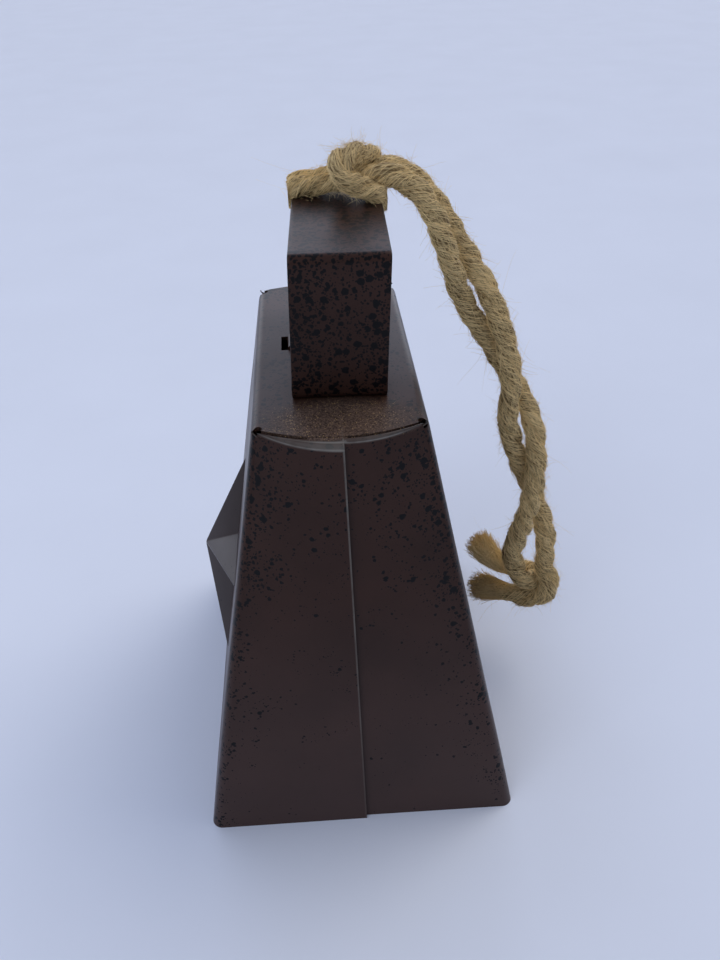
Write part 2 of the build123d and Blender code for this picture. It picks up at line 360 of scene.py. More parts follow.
def flange(shape, way_x, way_y):
    """One end flange with its corner bend and its lip; the one towards -Y laps over the other."""
    s = shape.s
    outer = way_y < 0
    step = s.sheet * (0.5 if outer else -0.53)
    past_seam = 0.0 if outer else -s.lap
    corner_columns, face_columns = 9, 30
    z_mid = s.height - 6 * MM
    rows = LOW_ROWS + RIM_ROWS + FOLD_ROWS
    crease_row = rows - LIP_ROWS
    side = side_path(shape, way_y)

    def surface(y, z):
        if not outer and y < shape.seam_y(z):
            return shape.end_x(y, z, 0.5 * s.sheet) - 1.03 * s.sheet
        return shape.end_x(y, z, step)

    def on_end(part, row):
        """A point on the end itself, 0 beside the corner bend and 1 at the seam or past it."""
        def y_at(z):
            y_start = shape.centre_y(z) + way_y * corner_ends(shape, z)[1][1]
            return y_start + (shape.seam_y(z) + past_seam - y_start) * part
        if row <= LOW_ROWS:
            z = z_mid * row / LOW_ROWS
            return Vector((surface(y_at(z), z), y_at(z), z))
        y = y_at(s.height - s.fold)
        crease = min(shape.crease_z(y, step), s.height - 0.5 * MM)
        if row <= crease_row:
            z = z_mid + (crease - z_mid) * (row - LOW_ROWS) / (crease_row - LOW_ROWS)
            return Vector((surface(y_at(z), z), y_at(z), z))
        up = (row - crease_row) / LIP_ROWS
        start = Vector((surface(y_at(crease), crease), y_at(crease), crease))
        drop = 1.05 * s.sheet if not outer and y_at(crease) < shape.seam_y(crease) else 0
        end = Vector((shape.slit_x(y) - drop, y, s.height - (0.4 if outer else 0.15) * MM))
        bow = 0.2 * MM * sin(pi * up)
        return start.lerp(end, up) + Vector((bow, 0, bow))

    def place(column, row):
        if column >= corner_columns:
            point = on_end((column - corner_columns) / face_columns, row)
        else:
            turn = pi / 2 * column / corner_columns
            low, high = side[row], on_end(0, row)
            point = Vector((low.x + (high.x - low.x) * sin(turn), high.y + (low.y - high.y) * cos(turn),
                            low.z + (high.z - low.z) * column / corner_columns))
        return Vector((way_x * point.x, point.y, point.z))

    return shaped_grid(corner_columns + face_columns, rows, place)


def strip(shape):
    """The top panel with both wide faces, folded from one sheet."""
    s = shape.s
    near, far = side_path(shape, -1), side_path(shape, 1)
    top_rows, columns = 16, 52
    flat = []
    for i in range(1, top_rows):
        y = near[-1].y + (far[-1].y - near[-1].y) * i / top_rows
        flat.append(Vector((shape.slit_x(y) - s.lip_gap, y, s.height)))
    path = near + flat + far[::-1]

    def place(column, row):
        x, y, z = path[row]
        return Vector(((column / columns * 2 - 1) * x, y, z))

    return shaped_grid(columns, len(path) - 1, place)


def cut(piece, cutters):
    """Takes the cutters out of a piece."""
    for cutter in cutters:
        modifier = piece.modifiers.new("cut", "BOOLEAN")
        modifier.operation = "DIFFERENCE"
        modifier.solver = "MANIFOLD"
        modifier.object = cutter
    apply_modifiers(piece)
    for cutter in cutters:
        bpy.data.objects.remove(cutter)


def make_bell(sizes):
    shape = BellShape(sizes)
    sheets = [strip(shape)]
    sheets += [flange(shape, way_x, way_y) for way_x in (1, -1) for way_y in (1, -1)]
    piece = join(sheets)
    merge_points(piece, 0.02 * MM)
    for vertex in piece.data.vertices:
        co = vertex.co
        side = Vector((co.x, 4 * (co.y - shape.centre_y(co.z)), 0)).normalized()
        calm = min(1, (sizes.height - co.z) / (20 * MM))
        vertex.co = co + side * calm * wander(co, 34 * MM, sizes.unevenness)
    wall = piece.modifiers.new("wall", "SOLIDIFY")
    wall.thickness = sizes.sheet
    wall.offset = -1
    apply_modifiers(piece)
    cutters = []
    for way_x in (1, -1):
        for way_y in (1, -1):
            deselect()
            bpy.ops.mesh.primitive_cylinder_add(
                vertices=28, radius=sizes.relief, depth=5 * MM,
                location=(way_x * (sizes.top_length / 2 - 0.1 * MM),
                          sizes.top_shift + way_y * (sizes.top_width / 2 - sizes.relief_inset), sizes.height))
            cutters.append(bpy.context.object)
    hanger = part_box("clapper_hanger")
    hanger_mid = (hanger[0].x + hanger[1].x) / 2
    slot_mid, slot_half = 11.9 * MM, 1.5 * MM
    for way_y in (1, -1):
        deselect()
        bpy.ops.mesh.primitive_cube_add(
            size=1, location=(hanger_mid, sizes.top_shift + way_y * slot_mid, sizes.height),
            scale=(hanger[1].x - hanger[0].x + 0.8 * MM, 2 * slot_half, 4 * sizes.sheet))
        cutters.append(bpy.context.object)
    cut(piece, cutters)
    soften = piece.modifiers.new("soften", "BEVEL")
    soften.width = 0.18 * MM
    soften.segments = 2
    soften.limit_method = "ANGLE"
    soften.angle_limit = radians(50)
    apply_modifiers(piece)
    return piece


# ---- handle --------------------------------------------------------------------------------
def strap_outline(sizes):
    """(x, z) along the outside of the strap, from the foot at -X round to the foot at +X."""
    half, bend, top = sizes.span / 2, sizes.bend, sizes.height
    foot_end = half - sizes.foot
    outline = [(-foot_end, 0)]

    def run(start, end, steps):
        for i in range(1, steps):
            part = i / steps
            outline.append((start[0] + (end[0] - start[0]) * part, start[1] + (end[1] - start[1]) * part))

    def turn_corner(x, z, start):
        for i in range(BEND_STEPS + 1):
            turn = start - pi / 2 * i / BEND_STEPS
            outline.append((x + bend * cos(turn), z + bend * sin(turn)))

    run((-foot_end, 0), (-half + bend, 0), 10)
    turn_corner(-half + bend, bend, -pi / 2)
    run((-half, bend), (-half, top - bend), 14)
    turn_corner(-half + bend, top - bend, pi)
    run((-half + bend, top), (half - bend, top), 24)
    turn_corner(half - bend, top - bend, pi / 2)
    run((half, top - bend), (half, bend), 14)
    turn_corner(half - bend, bend, 0)
    run((half - bend, 0), (foot_end, 0), 10)
    outline.append((foot_end, 0))
    return outline


def make_handle(sizes, bell):
    """A strap folded along a squared path, its feet turned in and their corners rounded."""
    outline = strap_outline(sizes)
    foot_end, bend = sizes.span / 2 - sizes.foot, sizes.bend
    columns, rows = len(outline) - 1, 20
    radius = sizes.foot_corner

    def place(column, row):
        x, z = outline[column]
        y = (row / rows * 2 - 1) * sizes.width / 2
        rest = abs(y) - (sizes.width / 2 - radius)
        back = radius - sqrt(max(0, radius ** 2 - rest ** 2)) if rest > 0 else 0
        if z == 0:
            share = max(0, 1 - (abs(x) - foot_end) / (sizes.foot - bend))
            x += back * share * (1 if x > 0 else -1)
        y += max(0, z - bend) * tan(sizes.lean)
        return Vector((x, y, z))

    piece = shaped_grid(columns, rows, place)
    merge_points(piece, 0.001 * MM)
    wall = piece.modifiers.new("wall", "SOLIDIFY")
    wall.thickness = sizes.strap
    wall.offset = -1
    wall.use_even_offset = True
    soften = piece.modifiers.new("soften", "BEVEL")
    soften.width = 0.35 * MM
    soften.segments = 3
    soften.limit_method = "ANGLE"
    soften.angle_limit = radians(50)
    apply_modifiers(piece)
    piece.location = (0, bell.top_shift + sizes.shift, bell.height)
    piece.rotation_euler = (0, 0, sizes.twist)
    return piece


# ---- star ----------------------------------------------------------------------------------
def make_star(sizes, bell):
    """A ten-sided cone whose every other corner is drawn in, hollowed and laid on the wide face."""
    deselect()
    bpy.ops.mesh.primitive_cone_add(vertices=10, radius1=sizes.radius, depth=sizes.peak,
                                    end_fill_type="NOTHING", location=(0, 0, sizes.peak / 2))
    piece = bpy.context.object
    bpy.ops.object.transform_apply(location=True)
    for vertex in piece.data.vertices:
        if vertex.co.z < sizes.peak / 2:
            turn = atan2(vertex.co.x, vertex.co.y)
            point = round(turn / (pi / 5)) % 2
            reach = sizes.radius * (sizes.notch if point else 1)
            vertex.co = Vector((reach * sin(turn), reach * cos(turn), 0))
    wall = piece.modifiers.new("wall", "SOLIDIFY")
    wall.thickness = sizes.sheet
    wall.offset = -1
    wall.use_even_offset = True
    soften = piece.modifiers.new("soften", "BEVEL")
    soften.width = 0.5 * MM
    soften.segments = 4
    soften.limit_method = "ANGLE"
    soften.angle_limit = radians(20)
    apply_modifiers(piece)
    for vertex in piece.data.vertices:
        vertex.co.z = max(vertex.co.z, 0)
    shape = BellShape(bell)
    slope = atan2(shape.half_width(0) - shape.half_width(bell.height) + bell.top_shift, bell.height)
    face_y = shape.centre_y(sizes.up) - shape.half_width(sizes.up)
    out = Vector((0, -cos(slope), sin(slope)))
    up = Vector((0, sin(slope), cos(slope)))
    turned = Matrix((Vector((1, 0, 0)), up, out)).transposed().to_4x4()
    piece.matrix_world = Matrix.Translation((0, face_y, sizes.up)) @ turned
    return piece


# ---- rope ----------------------------------------------------------------------------------
# Route of each half, in millimetres, from the middle of the bight on top of the handle.
HITCH_FRONT = [
    (-14.0, 6.4, 168.4), (-11.4, 3.8, 168.8), (-9.2, 2.2, 167.6), (-8.2, 2.8, 165.4), (-7.9, 5.2, 163.5),
    (-7.8, 8.0, 162.1), (-7.9, 11.0, 161.0), (-8.2, 13.0, 159.3), (-8.6, 12.6, 157.0), (-9.6, 9.6, 155.9),
    (-11.4, 2.6, 155.7), (-13.2, -4.6, 155.8), (-14.4, -9.6, 156.4), (-14.8, -11.2, 158.6),
    (-14.8, -10.0, 160.8), (-14.8, -6.2, 161.6), (-14.2, -0.8, 161.8), (-13.0, 5.6, 163.0)]
HITCH_REAR = [
    (-14.0, 6.4, 168.4), (-16.6, 8.8, 168.0), (-18.8, 10.2, 166.4), (-20.2, 11.6, 164.0),
    (-20.9, 12.8, 161.0), (-21.2, 12.8, 157.6), (-21.0, 10.4, 156.0), (-20.6, 3.0, 155.7), (-20.1, -4.6, 155.8),
    (-19.5, -9.6, 156.4), (-19.3, -11.2, 158.6), (-19.3, -9.8, 160.8), (-19.1, -5.8, 161.6),
    (-18.7, 0.2, 162.2), (-17.9, 6.6, 163.4)]
LIMB_FRONT = [
    (-10.4, 13.0, 164.9), (-9.2, 18.8, 163.6), (-8.4, 24.4, 157.6), (-8.0, 27.2, 150.8),
    (-8.6, 30.4, 141.2), (-11.0, 34.6, 129.6), (-11.1, 42.8, 117.2), (-10.4, 49.0, 106.8),
    (-7.4, 55.4, 96.6), (-3.6, 57.0, 86.8), (-0.6, 56.9, 76.4), (0.2, 55.6, 65.6),
    (-0.8, 53.6, 56.4), (-2.4, 52.4, 48.6), (-2.6, 53.6, 41.8)]
LIMB_REAR = [
    (-16.8, 13.0, 165.0), (-16.8, 19.2, 163.8), (-16.2, 25.4, 157.8), (-15.4, 30.2, 150.4),
    (-13.7, 36.2, 141.2), (-9.0, 42.4, 130.6), (-5.2, 46.2, 119.0), (-3.0, 48.1, 107.4),
    (-4.6, 47.4, 97.2), (-6.4, 50.4, 87.0), (-7.4, 54.4, 76.4), (-6.6, 59.4, 66.2),
    (-4.6, 62.6, 56.8), (-2.8, 63.8, 48.8), (-2.6, 63.0, 41.8)]
KNOT_FRONT = [
    (-1.0, 57.2, 36.2), (-4.6, 62.4, 33.4), (-8.8, 65.4, 31.6), (-12.0, 62.8, 31.0), (-12.2, 57.0, 32.0),
    (-12.0, 51.6, 34.6), (-13.2, 47.4, 38.0), (-14.8, 44.6, 42.0)]
KNOT_REAR = [
    (0.6, 65.2, 37.6), (1.6, 64.2, 32.0), (0.6, 58.8, 29.8), (-3.0, 53.8, 29.4), (-8.0, 49.4, 27.0),
    (-13.0, 45.0, 24.4)]


def rope_line(name, route, step):
    """Points a step apart along the NURBS spline of a route, in metres."""
    curve = bpy.data.curves.new(name, "CURVE")
    curve.dimensions = "3D"
    curve.resolution_u = 24
    spline = curve.splines.new("NURBS")
    spline.points.add(len(route) - 1)
    for point, place in zip(spline.points, route):
        point.co = [value * MM for value in place] + [1.0]
    spline.order_u = 3
    spline.use_endpoint_u = True
    holder = bpy.data.objects.new(name, curve)
    bpy.context.scene.collection.objects.link(holder)
    bpy.context.view_layer.update()
    mesh = bpy.data.meshes.new_from_object(holder)
    dense = np.array([vertex.co for vertex in mesh.vertices])
    bpy.data.objects.remove(holder)
    bpy.data.meshes.remove(mesh)
    bpy.data.curves.remove(curve)
    along = np.concatenate([[0], np.cumsum(np.linalg.norm(np.diff(dense, axis=0), axis=1))])
    count = int(along[-1] / step)
    wanted = np.linspace(0, along[-1], count + 1)
    return np.stack([np.interp(wanted, along, dense[:, i]) for i in range(3)], axis=1), wanted


def frames_along(points, first_normal):
    """A tangent, normal and binormal at each point, turning as little as they can."""
    tangents = np.gradient(points, axis=0)
    tangents /= np.linalg.norm(tangents, axis=1)[:, None]
    normals = np.zeros_like(points)
    normal = np.array(first_normal, float)
    for i, tangent in enumerate(tangents):
        normal = normal - tangent * (normal @ tangent)
        normal /= np.linalg.norm(normal)
        normals[i] = normal
    return tangents, normals, np.cross(tangents, normals)


def tube_mesh(name, lines, radii, ring, sizes, places, tones=None):
    """One mesh of closed tubes: radii are given at each point, or at each point and angle.

    places says how far along the rope each point lies.
    """
    rings, faces, uvs, base = [], [], [], 0
    for number, (line, radius) in enumerate(zip(lines, radii)):
        _, normals, sides = frames_along(line, (0.3, 0.2, 0.93))
        count = len(line)
        radius = np.asarray(radius, float)
        radius = radius if radius.ndim == 2 else np.repeat(radius[:, None], ring, axis=1)
        turns = 2 * pi * np.arange(ring) / ring
        around = (np.cos(turns)[None, :, None] * normals[:, None]
                  + np.sin(turns)[None, :, None] * sides[:, None])
        rings.append(line[:, None] + radius[:, :, None] * around)
        run = np.concatenate([[0], np.cumsum(np.linalg.norm(np.diff(line, axis=0), axis=1))]) / MM
        tone, spread = (tones[number], 0.02) if tones is not None else (0.37 * number, 1.0)
        run = run + 40 * tone if tones is not None else run
        for i in range(count - 1):
            for j in range(ring):
                after = (j + 1) % ring
                faces.append((base + i * ring + j, base + i * ring + after,
                              base + (i + 1) * ring + after, base + (i + 1) * ring + j))
                low, high = tone + spread * j / ring, tone + spread * (j + 1) / ring
                uvs.extend((run[i], low, run[i], high, run[i + 1], high, run[i + 1], low))
        for i, order in ((0, range(ring - 1, -1, -1)), (count - 1, range(ring))):
            faces.append(tuple(base + i * ring + j for j in order))
            for j in order:
                uvs.extend((run[i], tone + spread * j / ring))
        base += count * ring
    points = press_on_handle(np.concatenate(rings), np.concatenate(places), sizes)
    mesh = bpy.data.meshes.new(name)
    mesh.from_pydata(points.reshape(-1, 3).tolist(), [], faces)
    mesh.uv_layers.new(name="along").data.foreach_set("uv", uvs)
    piece = bpy.data.objects.new(name, mesh)
    bpy.context.scene.collection.objects.link(piece)
    return piece


def fullness(s):
    """How full the rope is along its half: puffed over the crossing, tight on the handle, loose below."""
    places = np.array([0, 7, 14, 60, 75, 110, 190, 215, 250]) * MM
    return float(np.interp(s, places, [1.14, 1.10, 0.92, 0.86, 1.0, 1.0, 1.04, 1.12, 1.0]))


def press_on_handle(rings, along, sizes):
    """Pulls the rope in against the edges and the underside of the handle's strap, where its turns lie."""
    low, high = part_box("strap_handle")
    turned = np.clip((66 * MM - np.asarray(along)) / (10 * MM), 0, 1).reshape(-1, 1)
    near = np.clip((high.z + 5.2 * MM - rings[..., 2]) / (2.6 * MM), 0, 1) * turned
    for way, side in ((-1, low.y + 2.3 * MM), (1, high.y)):
        beyond = np.maximum(way * (rings[..., 1] - side), 0)
        held = sizes.pressed * (1 - np.exp(-beyond / sizes.pressed))
        rings[..., 1] += way * near * (held - beyond)
    below = np.maximum(high.z - 1.5 * MM - rings[..., 2], 0) * turned
    held = sizes.under * (1 - np.exp(-below / sizes.under))
    rings[..., 2] += np.where(rings[..., 1] < high.y + 3 * MM, below - held, 0)
    return rings


class LaidRope:
    """Three strands laid round a line, and the fibres on them."""

    def __init__(self, line, sizes, seed):
        self.sizes, self.line, self.seed = sizes, line, seed
        self.run = np.concatenate([[0], np.cumsum(np.linalg.norm(np.diff(line, axis=0), axis=1))])
        self.total = self.run[-1]
        _, normals, sides = frames_along(line, (0, 0, 1))
        self.strand = 0.270 * sizes.diameter
        helix = 0.5 * sizes.diameter - self.strand * 1.06
        self.strands = []
        for k in range(3):
            centre, size = [], []
            for i, s in enumerate(self.run):
                full = fullness(s)
                loose = full * (1 + 0.12 * noise.noise(Vector((s / (17 * MM), k * 7.3, seed))))
                end = max(0.0, 1 - (self.total - s) / FRAY)
                turn = 2 * pi * (k / 3 - s / sizes.lay)
                turn += 0.4 * noise.noise(Vector((s / (14 * MM), k * 3.1, seed + 5)))
                reach = helix * loose
                centre.append(line[i] + reach * (cos(turn) * normals[i] + sin(turn) * sides[i]))
                lump = noise.noise(Vector((s / (9 * MM), k * 5.7, seed + 2)))
                size.append(self.strand * full * (1 + 0.10 * lump) * (1 - 0.6 * end))
            self.strands.append((np.array(centre), np.array(size)))

    def mesh(self, name):
        """The strands' own bodies, ridged by their fibres."""
        sizes = self.sizes
        turns = 2 * pi * np.arange(sizes.ring) / sizes.ring
        lines, radii = [], []
        for k, (centre, size) in enumerate(self.strands):
            rough = np.zeros((len(centre), sizes.ring))
            for i, s in enumerate(self.run):
                twist = turns + 2 * pi * s / sizes.yarn_lay
                rough[i] = 0.05 * np.sin(7 * twist) + 0.045 * np.sin(11 * twist + 2.1 * k)
                for j, angle in enumerate(twist):
                    rough[i, j] += 0.2 * noise.noise(Vector(
                        (3 * cos(angle), 3 * sin(angle), s / (3.2 * MM) + 31 * k + self.seed)))
            lines.append(centre)
            radii.append(size[:, None] * (1 + rough))
        return tube_mesh(name, lines, radii, sizes.ring, sizes, [self.run] * 3)

    def fibres(self, name, rng):
        """Bundles of fibre that lie along the strands, their ends a little lifted."""
        sizes = self.sizes
        frames = [frames_along(centre, (0.3, 0.2, 0.93)) for centre, _ in self.strands]
        lines, radii, places, tones = [], [], [], []
        for _ in range(sizes.fibres):
            k = rng.integers(0, 3)
            centre, size = self.strands[k]
            _, normals, sides = frames[k]
            stray = rng.uniform() < 0.3
            count = int(rng.uniform(4, 8 if stray else 14) * MM / sizes.step)
            start = rng.integers(0, len(centre) - count)
            picked = np.unique(np.linspace(start, start + count, 10).astype(int))
            part = np.linspace(-1, 1, len(picked))
            angle = rng.uniform(0, 2 * pi) - 2 * pi * self.run[picked] / sizes.yarn_lay
            angle = angle + rng.normal(0, 1.2 if stray else 0.35) * part
            lift = 1.02 + rng.uniform(0, 0.16) + rng.uniform(0.02, 0.6 if stray else 0.3) * np.abs(part) ** 3
            out = np.cos(angle)[:, None] * normals[picked] + np.sin(angle)[:, None] * sides[picked]
            lines.append(centre[picked] + out * (size[picked] * lift)[:, None])
            thick = rng.uniform(0.04, 0.11) * MM
            radii.append(thick * (1 - 0.6 * np.abs(part) ** 3))
            places.append(self.run[picked])
            tones.append(rng.uniform(0, 9))
        return tube_mesh(name, lines, radii, 3, sizes, places, tones)

    def hairs(self, name, rng):
        """Single hairs that stand off the rope, a few of them long."""
        sizes = self.sizes
        tangents, normals, sides = frames_along(self.line, (0, 0, 1))
        lines, radii, places, tones = [], [], [], []
        for number in range(sizes.hairs):
            i = rng.integers(0, len(self.line) - 1 if number % 8 else int(16 * MM / self.run[1]))
            turn = rng.uniform(0, 2 * pi)
            out = cos(turn) * normals[i] + sin(turn) * sides[i]
            side = np.cross(tangents[i], out)
            reach, lift = rng.uniform(1.5, 5.0) * MM, abs(rng.normal(0, 0.3)) + 0.1
            if number < 0.012 * sizes.hairs:
                reach, lift = rng.uniform(7, 15) * MM, rng.uniform(0.3, 0.8)
            way = tangents[i] * rng.choice([-1, 1]) + side * rng.normal(0.2, 0.5)
            way /= np.linalg.norm(way)
            start = self.line[i] + out * sizes.diameter * 0.42 * fullness(self.run[i])
            curl, wave = rng.normal(0, 0.4), rng.uniform(0, 2 * pi)
            part = np.linspace(0, 1, 7)[:, None]
            fibre = (start + way * reach * part + out * lift * reach * part ** 1.5
                     + side * curl * reach * part ** 2 + side * 0.08 * reach * np.sin(6 * part + wave)
                     - np.array((0, 0, 0.12)) * reach * part ** 2)
            lines.append(fibre)
            thick = rng.uniform(0.025, 0.05) * MM
            radii.append(np.linspace(thick, 0.4 * thick, 7))
            places.append(np.full(7, self.run[i]))
            tones.append(rng.uniform(0, 9))
        return tube_mesh(name, lines, radii, 3, sizes, places, tones)

    def frayed_end(self, name, rng):
        """The open brush of fibres at the rope's end: they follow it, spread a little and stop unevenly."""
        sizes = self.sizes
        tangents, normals, sides = frames_along(self.line, (0, 0, 1))
        lines, radii, places, tones = [], [], [], []
        last = len(self.line) - 1
        for _ in range(sizes.tuft):
            turn, depth = rng.uniform(0, 2 * pi), sqrt(rng.uniform(0, 1))
            start = self.total - rng.uniform(0.15, 1) * FRAY
            stop = self.total + (rng.uniform(-2.2, 3.6) - 2.2 * depth ** 2) * MM
            curl, drift, wave = rng.normal(0, 0.9) * MM, rng.normal(0, 0.4), rng.uniform(0, 2 * pi)
            fibre = []
            for part in np.linspace(0, 1, 8):
                s = start + (stop - start) * part
                i = min(last, int(s / self.run[1]))
                open_share = max(0, 1 - (self.total - s) / FRAY)
                radius = depth * (0.40 + 0.34 * open_share) * sizes.diameter
                angle = turn + drift * part
                out = cos(angle) * normals[i] + sin(angle) * sides[i]
                over = max(0, s - self.run[i])
                fibre.append(self.line[i] + tangents[i] * over + out * radius
                             + sides[i] * curl * part ** 2 + normals[i] * 0.35 * MM * sin(7 * part + wave))
            lines.append(np.array(fibre))
            thick = rng.uniform(0.04, 0.13) * MM
            radii.append(np.linspace(thick, 0.5 * thick, 8))
            places.append(np.full(8, self.total))
            tones.append(rng.uniform(0, 9))
        return tube_mesh(name, lines, radii, 3, sizes, places, tones)


# ---- finishes ------------------------------------------------------------------------------
def share_of(node, *bands):
    """The product of some bands, each given as (value, where it is 0, where it is 1)."""
    share = 1.0
    for value, none, full in bands:
        band = node("MapRange", {"Value": value, "From Min": none, "From Max": full})[0]
        share = node("Math", {0: band, 1: share}, operation="MULTIPLY")[0]
    return share


def bell_spot(node, place, bell):
    """Where a point of the bell lies: up from the mouth, off the centre line, along X and below the top."""
    axes = node("SeparateXYZ", {"Vector": place})
    up = node("Math", {0: axes["Z"], 1: bell.height}, operation="DIVIDE")[0]
    return {"x": axes["X"], "y": axes["Y"], "up": up,
            "centred": node("Math", {0: up, 1: -bell.top_shift, 2: axes["Y"]}, operation="MULTIPLY_ADD")[0],
            "end_x": node("Math", {0: axes["X"]}, operation="ABSOLUTE")[0],
            "down": node("Math", {0: bell.height, 1: axes["Z"]}, operation="SUBTRACT")[0]}


def more_at_corners(node, bell, spot, level):
    """More spatter beside the upright corners and towards the top."""
    inside = []
    for off, top, mouth in ((spot["centred"], bell.top_width, bell.mouth_width),
                            (spot["end_x"], bell.top_length, bell.mouth_length)):
        half = node("Math", {0: spot["up"], 1: (top - mouth) / 2, 2: mouth / 2}, operation="MULTIPLY_ADD")[0]
        away = node("Math", {0: off}, operation="ABSOLUTE")[0]
        inside.append(node("Math", {0: half, 1: away}, operation="SUBTRACT")[0])
    depth = node("Math", {0: inside[0], 1: inside[1]}, operation="MAXIMUM")[0]
    edge = share_of(node, (depth, CORNER_BAND, 0.0))
    level = node("Math", {0: edge, 1: 0.34, 2: level}, operation="MULTIPLY_ADD")[0]
    rise = node("Math", {0: spot["up"], 1: 1.6}, operation="POWER", use_clamp=True)[0]
    return node("Math", {0: rise, 1: 0.30, 2: level}, operation="MULTIPLY_ADD")[0]


def spatter(node, place, level):
    """Round drops 0.4 to 1.4 mm across, drawn by the distance to scattered points: 1 inside a drop."""
    wobble = node("TexNoise", {"Vector": place, "Scale": 900, "Detail": 2})["Color"]
    shifted = node("VectorMath", {0: wobble, 1: [DROP_WOBBLE] * 3}, operation="MULTIPLY")[0]
    moved = node("VectorMath", {0: place, 1: shifted}, operation="ADD")[0]
    dark = 0.0
    for scale, largest in ((500, 0.46), (950, 0.50), (1600, 0.48)):
        cells = node("TexVoronoi", {"Vector": moved, "Scale": scale, "Randomness": 1.0})
        pick = node("SeparateColor", {"Color": cells["Color"]})[0]
        room = node("Math", {0: level, 1: pick}, operation="SUBTRACT", use_clamp=True)[0]
        size = node("Math", {0: room, 1: largest * 2.4}, operation="MULTIPLY")[0]
        size = node("Math", {0: size, 1: largest}, operation="MINIMUM")[0]
        inside = node("Math", {0: size, 1: cells["Distance"]}, operation="SUBTRACT")[0]
        drop = node("MapRange", {"Value": inside, "From Min": -0.02, "From Max": 0.06})[0]
        dark = node("Math", {0: drop, 1: dark}, operation="MAXIMUM")[0]
    return dark


def lip_and_painted_highlight(node, bell, spot, patch):
    """1 on the lips, and the painted highlight: over the lips, most along their creases, and down the lap's
    edge.
    """
    off = node("Math", {0: spot["centred"], 1: bell.top_width / 2}, operation="DIVIDE")[0]
    square = node("Math", {0: off, 1: off}, operation="MULTIPLY")[0]
    arc = node("Math", {0: square, 1: -bell.panel_crown, 2: bell.top_length / 2 + bell.panel_crown},
               operation="MULTIPLY_ADD")[0]
    cone = node("Math", {0: spot["down"], 1: tan(bell.lip_angle), 2: arc}, operation="MULTIPLY_ADD")[0]
    beyond = node("Math", {0: spot["end_x"], 1: cone}, operation="SUBTRACT")[0]
    lip = share_of(node, (beyond, -0.35 * MM, -0.08 * MM), (spot["down"], 6 * MM, 5 * MM))
    past = node("Math", {0: spot["end_x"], 1: arc}, operation="SUBTRACT")[0]
    across = node("Math", {0: past, 1: 2.2 * MM}, operation="DIVIDE", use_clamp=True)[0]
    from_crease = node("Math", {0: beyond}, operation="ABSOLUTE")[0]
    # painted highlight along each crease line
    crease = share_of(node, (from_crease, 0.22 * MM, 0.05 * MM), (across, 0.05, 0.3))
    # painted highlight down the lap's edge, brighter towards the top
    seam = node("Math", {0: spot["up"], 1: -0.4 * MM, 2: 0.9 * MM}, operation="MULTIPLY_ADD")[0]
    from_seam = node("Math", {0: spot["centred"], 1: seam}, operation="SUBTRACT")[0]
    lap_edge_highlight = share_of(node, (from_seam, -0.5 * MM, -0.3 * MM), (from_seam, 0.08 * MM, 0.0),
                        (spot["end_x"], bell.top_length / 2, bell.top_length / 2 + 2 * MM))
    strength = node("Math", {0: spot["up"], 1: 0.5, 2: 0.2}, operation="MULTIPLY_ADD")[0]
    lap_edge_highlight = node("Math", {0: lap_edge_highlight, 1: strength}, operation="MULTIPLY")[0]
    # painted highlight over the lips, growing from the slit down to the crease
    painted_highlight = node("Math", {0: across, 1: 0.5, 2: 0.2}, operation="MULTIPLY_ADD")[0]
    painted_highlight = node("Math", {0: painted_highlight, 1: crease}, operation="MAXIMUM")[0]
    painted_highlight = node("Math", {0: painted_highlight, 1: lip}, operation="MULTIPLY")[0]
    painted_highlight = node("Math", {0: painted_highlight, 1: lap_edge_highlight}, operation="MAXIMUM")[0]
    uneven = node("MapRange", {"Value": patch, "From Min": 0.35, "From Max": 0.6, "To Min": 0.55})[0]
    return lip, node("Math", {0: painted_highlight, 1: uneven}, operation="MULTIPLY")[0]


def blown_dust(node, place, spot, lip, finishes, skin):
    """Coarse dull dust against the handle's foot, with single bright grains of 0.2 mm."""
    squares = []
    for axis, middle, reach in (("x", 38 * MM, 11 * MM), ("y", -2 * MM, 16.5 * MM)):
        off = node("Math", {0: spot[axis], 1: middle}, operation="SUBTRACT")[0]
        off = node("Math", {0: off, 1: reach}, operation="DIVIDE")[0]
        squares.append(node("Math", {0: off, 1: off}, operation="MULTIPLY")[0])
    away = node("Math", {0: squares[0], 1: squares[1]}, operation="ADD")[0]
    away = node("Math", {0: away}, operation="SQRT")[0]
    on_panel = (spot["down"], 1.4 * MM, 0.8 * MM), (lip, 1.0, 0.0)
    near = share_of(node, (away, 1.2, 0.7), *on_panel)
    cloud = node("TexNoise", {"Vector": place, "Scale": 2600, "Detail": 3})["Fac"]
    cover = node("Math", {0: near, 1: 0.85}, operation="MULTIPLY")[0]
    clumps = share_of(node, (cloud, 0.35, 0.65))
    dust = node("Mix", {"Factor": clumps, "A": linear("#2b211e"), "B": linear("#695649")},
                data_type="RGBA")["Result"]
    skin = node("Mix", {"Factor": cover, "A": skin, "B": dust}, data_type="RGBA")["Result"]
    grains = node("TexVoronoi", {"Vector": place, "Scale": 3300, "Randomness": 1.0})
    pick = node("SeparateColor", {"Color": grains["Color"]})[0]
    bright = share_of(node, (pick, 0.84, 0.94), (grains["Distance"], 0.5, 0.25), (away, 1.3, 0.8), *on_panel)
    skin = node("Mix", {"Factor": bright, "A": skin, "B": linear(finishes.grit)}, data_type="RGBA")["Result"]
    return skin, near, node("Math", {0: cloud, 1: near}, operation="MULTIPLY")[0]


